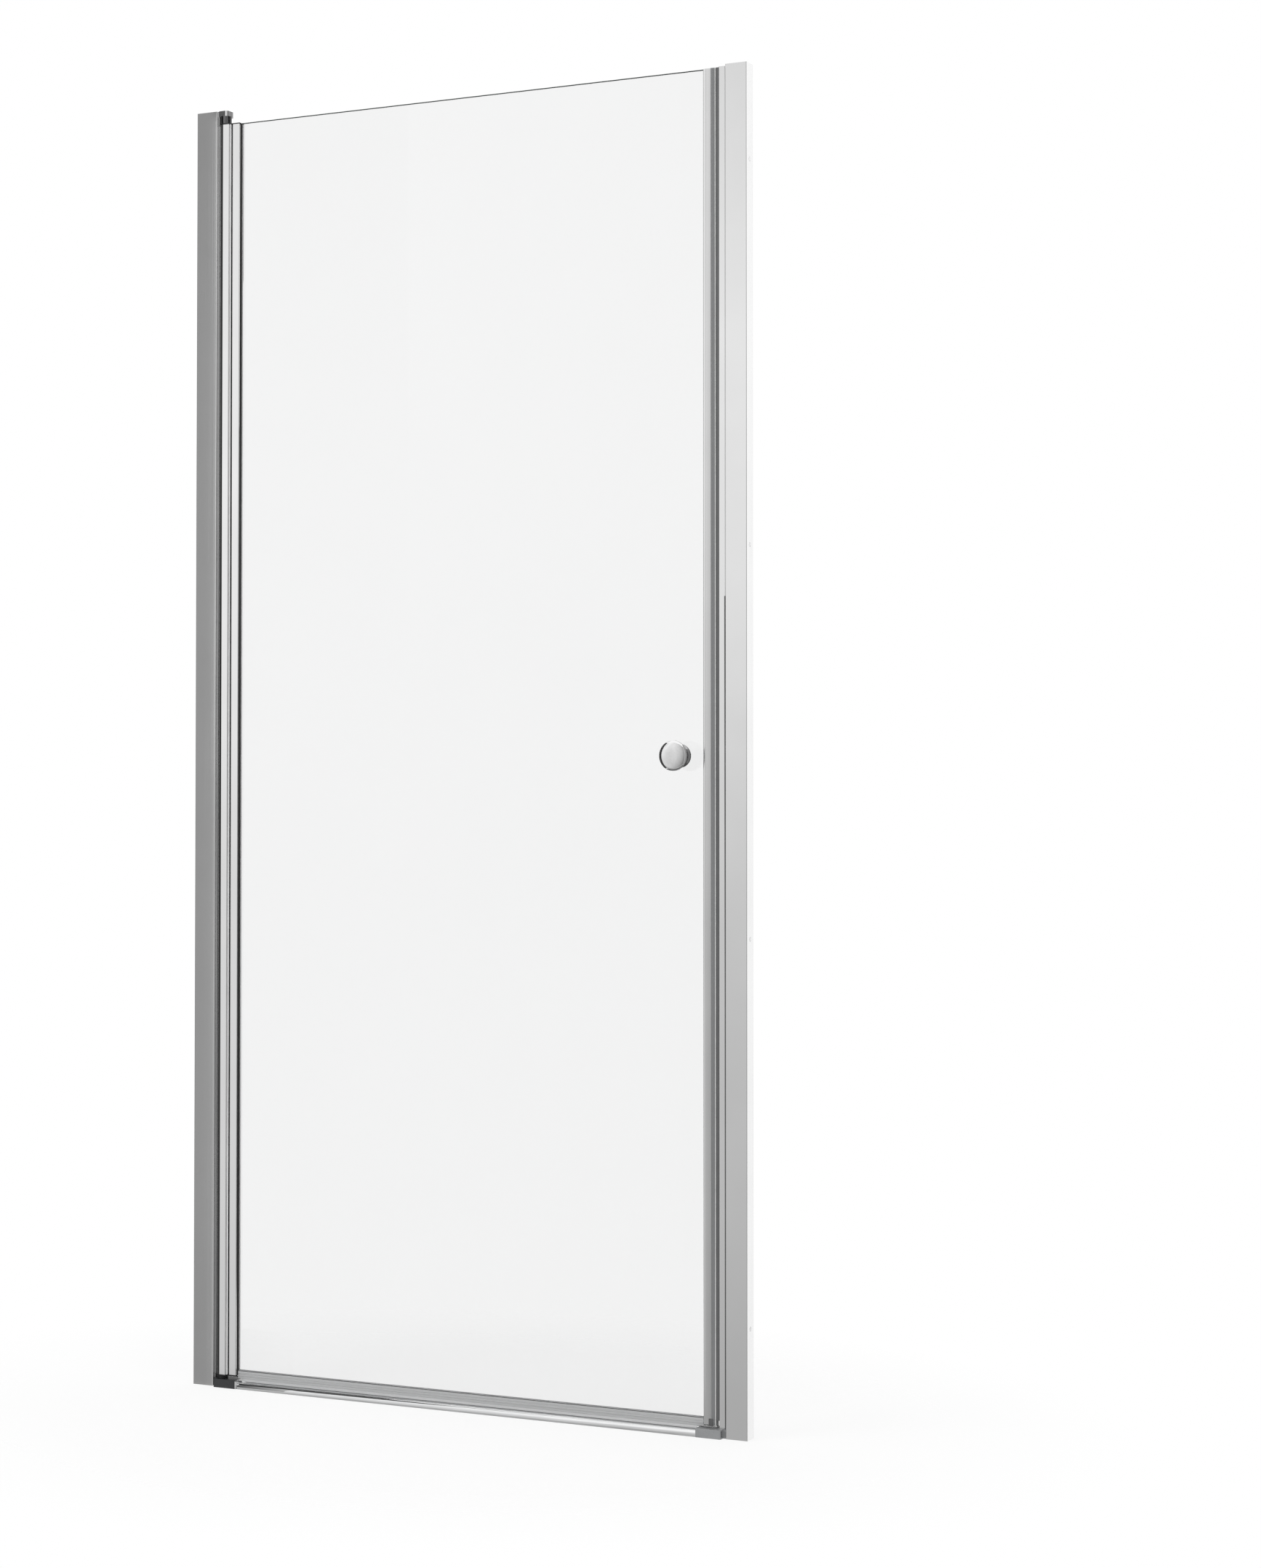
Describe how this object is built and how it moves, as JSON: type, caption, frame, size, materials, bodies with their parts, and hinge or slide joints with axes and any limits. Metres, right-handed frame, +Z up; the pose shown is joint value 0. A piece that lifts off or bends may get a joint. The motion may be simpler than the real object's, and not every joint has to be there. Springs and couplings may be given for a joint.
{
  "type": "pivot shower door",
  "caption": "Framed niche shower door: clear glass leaf on a full-height pivot profile between wall channels, with magnetic side seal, drip seal, round knob and low threshold bar.",
  "frame": {"origin": "on the shower tray under the threshold bar, midway between the two walls, in the middle plane of the glass", "axes": "+Z up, -Y towards the room, +X from the hinge wall to the strike wall"},
  "size_m": [0.9, 0.0497, 1.9],
  "materials": {
    "satin_chrome_profile": "satin chrome-look anodised",
    "polished_profile": "polished bright anodised",
    "polished_chrome": "polished chrome plate",
    "stainless_steel": "plain stainless",
    "black_rubber": "matte",
    "black_moulding": "fine texture",
    "grey_moulding": "semi-gloss",
    "clear_vinyl": "clear flexible",
    "pale_vinyl": "soft",
    "magnet_strip": "matte",
    "clear_glass": "clear toughened, seamed edges"
  },
  "bodies": {
    "frame": {"hinge_wall_channel": "satin_chrome_profile", "strike_wall_channel": "satin_chrome_profile", "hinge_jamb": "satin_chrome_profile", "strike_jamb": "satin_chrome_profile", "hinge_gasket": "black_rubber", "strike_seal_carrier": "clear_vinyl", "strike_magnet": "magnet_strip", "top_pivot_bracket": "polished_chrome", "top_pivot_pin": "polished_chrome", "top_bracket_screws": "stainless_steel", "bottom_pivot_block": "grey_moulding", "bottom_pivot_pin": "stainless_steel", "pivot_block_plate": "polished_chrome", "threshold_bar": "polished_profile", "threshold_end_cap": "grey_moulding", "end_block_screws": "stainless_steel", "threshold_corner_dam": "pale_vinyl", "jamb_lock_screws": "stainless_steel", "lock_screw_covers": "grey_moulding", "strike_channel_plug": "grey_moulding"},
    "leaf": {"glass_panel": "clear_glass", "hinge_profile": "polished_profile", "glass_clamp_strip": "polished_profile", "clamp_groove_strip": "black_rubber", "front_clamp_gasket": "black_rubber", "rear_clamp_gasket": "black_rubber", "clamp_screws": "stainless_steel", "hinge_top_cap": "black_moulding", "hinge_bottom_cap": "black_moulding", "top_pivot_bush": "black_moulding", "bottom_pivot_bush": "black_moulding", "side_seal": "clear_vinyl", "side_seal_magnet": "magnet_strip", "drip_seal": "clear_vinyl", "outer_knob": "polished_chrome", "knob_back_cap": "polished_chrome", "knob_stud": "stainless_steel", "knob_washers": "clear_vinyl", "knob_sleeve": "pale_vinyl"}
  },
  "joints": [
    {"name": "door_swing", "type": "hinge", "parent": "frame", "child": "leaf", "pos_m": [-0.402, -0.0035, 0.95], "axis": [0, 0, -1], "range_deg": [0, 90]}
  ]
}
